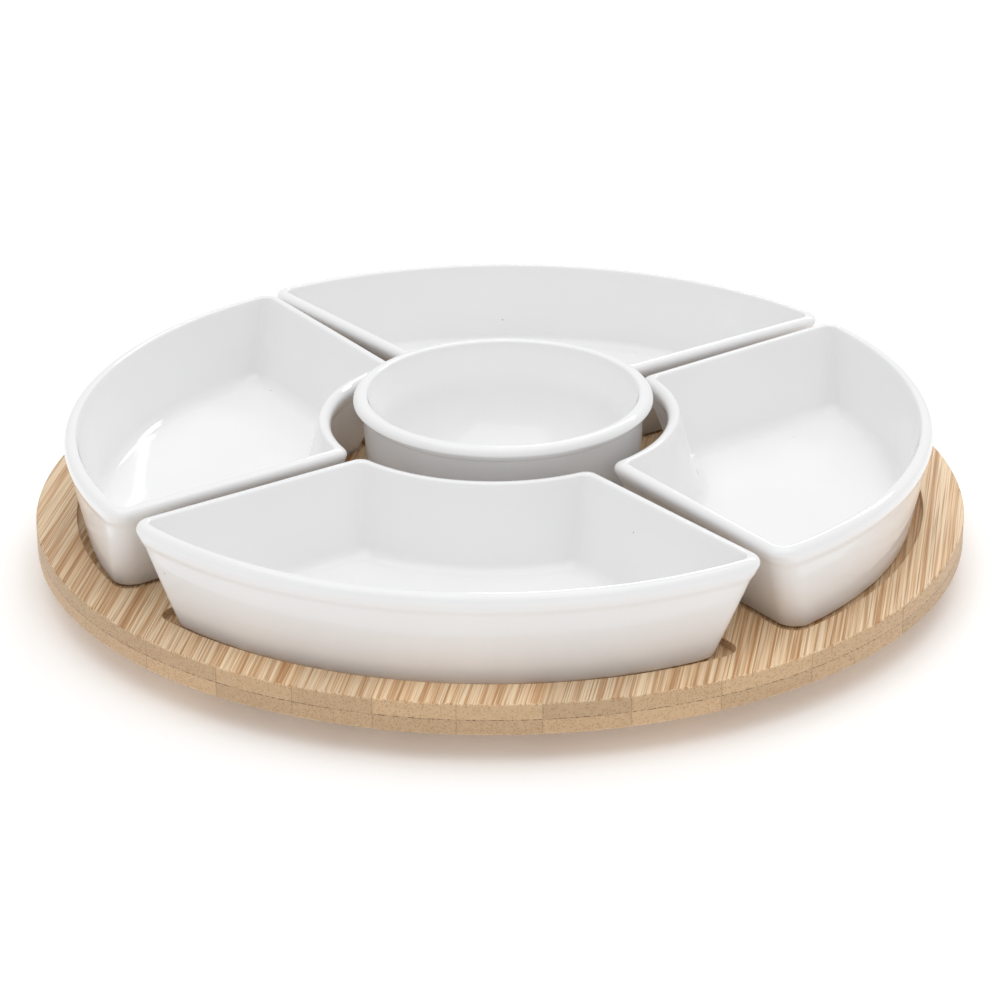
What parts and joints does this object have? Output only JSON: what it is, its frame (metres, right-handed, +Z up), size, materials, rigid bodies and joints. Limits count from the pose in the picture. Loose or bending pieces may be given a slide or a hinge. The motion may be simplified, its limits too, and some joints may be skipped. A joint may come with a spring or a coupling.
{
  "type": "chip and dip server",
  "caption": "Round laminated bamboo serving tray with four wedge-shaped glazed dishes and a taller centre dip bowl, each loose in its own pocket, on an assumed ball-bearing turntable.",
  "frame": {"origin": "centre of the tray on the surface it stands on, under the rubber pads", "axes": "+Z up through the tray's middle, -Y towards the front dish, +X towards the right dish"},
  "size_m": [0.3, 0.3, 0.0554],
  "materials": {
    "dish_glaze": "white glaze, glossy",
    "bowl_glaze": "white glaze, glossy",
    "upper_bamboo": "bamboo, clear satin lacquer",
    "lower_bamboo": "bamboo, clear satin lacquer",
    "ring_aluminium": "turned, satin",
    "ball_steel": "polished",
    "cage_nylon": "natural nylon",
    "screw_zinc": "bright zinc plate",
    "pad_rubber": "matt"
  },
  "bodies": {
    "base": {"turntable_inner_ring": "ring_aluminium", "foot_pads": "pad_rubber"},
    "ball_train": {"bearing_balls": "ball_steel", "ball_cage": "cage_nylon"},
    "tray": {"tray_upper_ply": "upper_bamboo", "tray_lower_ply": "lower_bamboo", "turntable_outer_ring": "ring_aluminium", "ring_screws": "screw_zinc"},
    "front_dish_body": {"front_dish": "dish_glaze"},
    "right_dish_body": {"right_dish": "dish_glaze"},
    "back_dish_body": {"back_dish": "dish_glaze"},
    "left_dish_body": {"left_dish": "dish_glaze"},
    "dip_bowl_body": {"dip_bowl": "bowl_glaze"}
  },
  "joints": [
    {"name": "tray_spin", "type": "hinge", "parent": "base", "child": "tray", "pos_m": [0, 0, 0.005], "axis": [0, 0, 1], "continuous": true},
    {"name": "ball_train_spin", "type": "hinge", "parent": "base", "child": "ball_train", "pos_m": [0, 0, 0.005], "axis": [0, 0, 1], "continuous": true},
    {"name": "front_dish_lift", "type": "slide", "parent": "tray", "child": "front_dish_body", "axis": [0, 0, 1], "range_m": [0, 0.06]},
    {"name": "right_dish_lift", "type": "slide", "parent": "tray", "child": "right_dish_body", "axis": [0, 0, 1], "range_m": [0, 0.06]},
    {"name": "back_dish_lift", "type": "slide", "parent": "tray", "child": "back_dish_body", "axis": [0, 0, 1], "range_m": [0, 0.06]},
    {"name": "left_dish_lift", "type": "slide", "parent": "tray", "child": "left_dish_body", "axis": [0, 0, 1], "range_m": [0, 0.06]},
    {"name": "dip_bowl_lift", "type": "slide", "parent": "tray", "child": "dip_bowl_body", "axis": [0, 0, 1], "range_m": [0, 0.07]}
  ],
  "couplings": [
    {"joint": "ball_train_spin", "follows": "tray_spin", "ratio": 0.5155}
  ]
}
